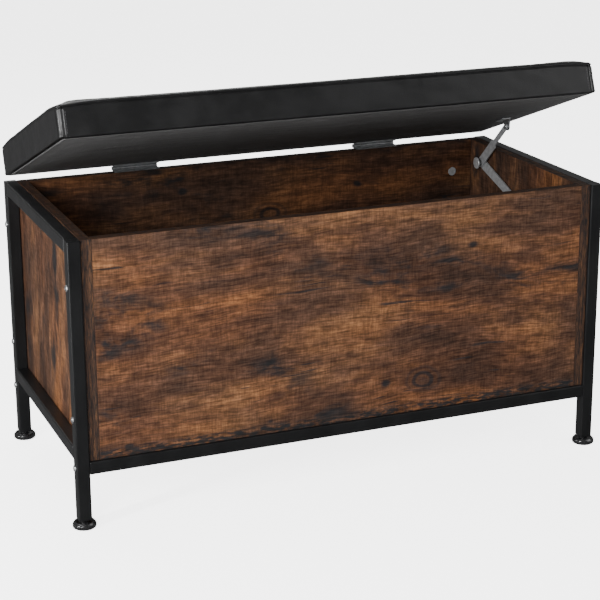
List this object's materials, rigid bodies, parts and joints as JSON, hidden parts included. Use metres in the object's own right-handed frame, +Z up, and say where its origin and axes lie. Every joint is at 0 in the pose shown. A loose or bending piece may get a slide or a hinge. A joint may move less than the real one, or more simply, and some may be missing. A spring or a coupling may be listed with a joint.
{
  "type": "storage bench",
  "caption": "Storage bench with a wooden box in a square-tube steel frame and a padded lid that opens on rear hinges with a folding stay.",
  "frame": {"origin": "on the floor, in the middle of the outline of the bench with its lid part open", "axes": "+X along the bench to the right as seen from the front, +Y to the rear, where the hinges are, +Z up"},
  "size_m": [0.8856, 0.4271, 0.6319],
  "materials": {
    "black_steel": "satin black powder coat",
    "rustic_board": "rustic brown wood-grain laminate on board",
    "rustic_board_inside": "dark brown laminate on board",
    "zinc_steel": "zinc plated",
    "black_plastic": "moulded black plastic",
    "black_vinyl": "black faux leather over foam",
    "grey_foam": "grey foam",
    "black_cloth": "black non-woven dust cover"
  },
  "bodies": {
    "bench": {"leg_front_left": "black_steel", "leg_front_right": "black_steel", "leg_rear_left": "black_steel", "leg_rear_right": "black_steel", "top_rail_left": "black_steel", "lower_rail_left": "black_steel", "top_rail_right": "black_steel", "lower_rail_right": "black_steel", "long_rail_front": "black_steel", "long_rail_rear": "black_steel", "front_panel": "rustic_board", "back_panel": "rustic_board", "left_panel": "rustic_board", "right_panel": "rustic_board", "floor_panel": "rustic_board_inside", "upper_bolt_front_left": "zinc_steel", "middle_bolt_front_left": "zinc_steel", "rail_bolt_front_left": "zinc_steel", "upper_bolt_front_right": "zinc_steel", "middle_bolt_front_right": "zinc_steel", "rail_bolt_front_right": "zinc_steel", "upper_bolt_rear_left": "zinc_steel", "middle_bolt_rear_left": "zinc_steel", "rail_bolt_rear_left": "zinc_steel", "upper_bolt_rear_right": "zinc_steel", "middle_bolt_rear_right": "zinc_steel", "rail_bolt_rear_right": "zinc_steel", "upper_cam_front_left": "zinc_steel", "lower_cam_front_left": "zinc_steel", "upper_cam_front_right": "zinc_steel", "lower_cam_front_right": "zinc_steel", "upper_cam_rear_left": "zinc_steel", "lower_cam_rear_left": "zinc_steel", "upper_cam_rear_right": "zinc_steel", "lower_cam_rear_right": "zinc_steel", "leg_insert_front_left": "black_plastic", "leg_insert_front_right": "black_plastic", "leg_insert_rear_left": "black_plastic", "leg_insert_rear_right": "black_plastic", "hinge_box_leaf_left": "zinc_steel", "hinge_pin_left": "zinc_steel", "hinge_box_leaf_right": "zinc_steel", "hinge_pin_right": "zinc_steel", "stay_side_bracket": "zinc_steel"},
    "lid": {"lid_board": "rustic_board_inside", "seat_foam": "grey_foam", "seat_cushion": "black_vinyl", "lid_underside": "black_cloth", "hinge_lid_leaf_left": "zinc_steel", "hinge_lid_leaf_right": "zinc_steel", "stay_lid_bracket": "zinc_steel", "stay_top_rivet": "zinc_steel"},
    "stay_upper": {"stay_upper_arm": "zinc_steel", "stay_elbow_pin": "zinc_steel", "stay_elbow_washer": "black_plastic"},
    "stay_lower": {"stay_lower_arm": "zinc_steel"},
    "levelling_foot_front_left": {"foot_front_left": "black_plastic"},
    "levelling_foot_front_right": {"foot_front_right": "black_plastic"},
    "levelling_foot_rear_left": {"foot_rear_left": "black_plastic"},
    "levelling_foot_rear_right": {"foot_rear_right": "black_plastic"}
  },
  "joints": [
    {"name": "lid_hinge", "type": "hinge", "parent": "bench", "child": "lid", "pos_m": [0, 0.1935, 0.4433], "axis": [-1, 0, 0], "range_deg": [-20, 40]},
    {"name": "stay_top_pivot", "type": "hinge", "parent": "lid", "child": "stay_upper", "pos_m": [0.3934, 0.0372, 0.49], "axis": [-1, 0, 0], "range_deg": [-2.6, 5]},
    {"name": "stay_elbow", "type": "hinge", "parent": "stay_upper", "child": "stay_lower", "pos_m": [0.3934, 0.1242, 0.409], "axis": [1, 0, 0], "range_deg": [-32.5, 64.6]},
    {"name": "foot_turn_front_left", "type": "hinge", "parent": "bench", "child": "levelling_foot_front_left", "pos_m": [-0.425, -0.1958, 0], "axis": [0, 0, 1], "continuous": true},
    {"name": "foot_turn_front_right", "type": "hinge", "parent": "bench", "child": "levelling_foot_front_right", "pos_m": [0.425, -0.1958, 0], "axis": [0, 0, 1], "continuous": true},
    {"name": "foot_turn_rear_left", "type": "hinge", "parent": "bench", "child": "levelling_foot_rear_left", "pos_m": [-0.425, 0.1842, 0], "axis": [0, 0, 1], "continuous": true},
    {"name": "foot_turn_rear_right", "type": "hinge", "parent": "bench", "child": "levelling_foot_rear_right", "pos_m": [0.425, 0.1842, 0], "axis": [0, 0, 1], "continuous": true}
  ],
  "couplings": [
    {"joint": "stay_top_pivot", "follows": "lid_hinge", "ratio": 0.1216},
    {"joint": "stay_elbow", "follows": "lid_hinge", "ratio": 1.6096}
  ]
}
